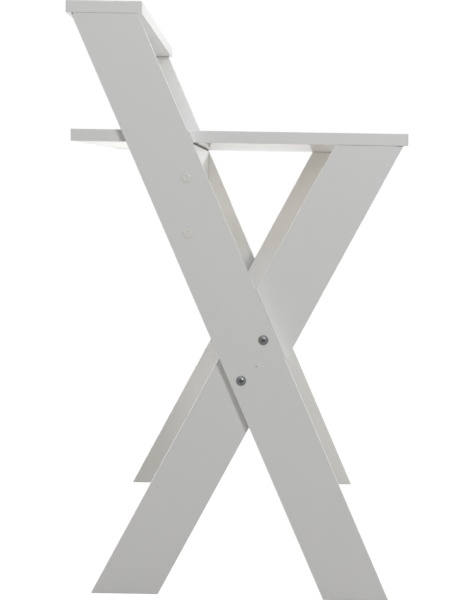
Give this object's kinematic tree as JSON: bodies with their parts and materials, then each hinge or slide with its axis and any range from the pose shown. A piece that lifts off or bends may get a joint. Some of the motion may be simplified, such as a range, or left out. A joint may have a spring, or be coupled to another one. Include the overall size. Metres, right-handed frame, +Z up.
{
  "type": "desk",
  "caption": "White board desk on X-shaped side legs, whose outer legs run on up behind the desktop to carry a narrow upper shelf; modesty panel below the desktop.",
  "frame": {"origin": "on the floor, in the middle of the desk's footprint", "axes": "+Z up, +X along the desk to the sitter's right, the sitter's side faces -Y"},
  "size_m": [1.1062, 0.546, 0.9514],
  "materials": {
    "board_facing": "white melamine facing on chipboard, satin, with a fine grain in the surface",
    "edging": "white plastic edging, satin",
    "zinc_plate": "bright zinc-plated steel",
    "cast_zinc": "tumbled zinc casting, dull",
    "dowel_wood": "bare beech",
    "cap_plastic": "white moulded plastic, matte"
  },
  "bodies": {
    "root": {"desktop": "board_facing", "desktop_edging": "edging", "left_crossing_bolts": "zinc_plate", "left_desktop_cam": "cast_zinc", "left_desktop_cam_bolt": "zinc_plate", "left_desktop_dowel": "dowel_wood", "left_inner_leg": "board_facing", "left_inner_leg_cam": "cast_zinc", "left_inner_leg_cam_bolt": "zinc_plate", "left_inner_leg_dowel": "dowel_wood", "left_inner_leg_edging": "edging", "left_outer_leg": "board_facing", "left_outer_leg_edging": "edging", "left_panel_screws": "zinc_plate", "left_screw_caps": "cap_plastic", "left_shelf_cam": "cast_zinc", "left_shelf_cam_bolt": "zinc_plate", "left_shelf_dowel": "dowel_wood", "left_sleeve_nuts": "zinc_plate", "modesty_panel": "board_facing", "modesty_panel_edging": "edging", "right_crossing_bolts": "zinc_plate", "right_desktop_cam": "cast_zinc", "right_desktop_cam_bolt": "zinc_plate", "right_desktop_dowel": "dowel_wood", "right_inner_leg": "board_facing", "right_inner_leg_cam": "cast_zinc", "right_inner_leg_cam_bolt": "zinc_plate", "right_inner_leg_dowel": "dowel_wood", "right_inner_leg_edging": "edging", "right_outer_leg": "board_facing", "right_outer_leg_edging": "edging", "right_panel_screws": "zinc_plate", "right_screw_caps": "cap_plastic", "right_shelf_cam": "cast_zinc", "right_shelf_cam_bolt": "zinc_plate", "right_shelf_dowel": "dowel_wood", "right_sleeve_nuts": "zinc_plate", "upper_shelf": "board_facing", "upper_shelf_edging": "edging"}
  },
  "joints": []
}
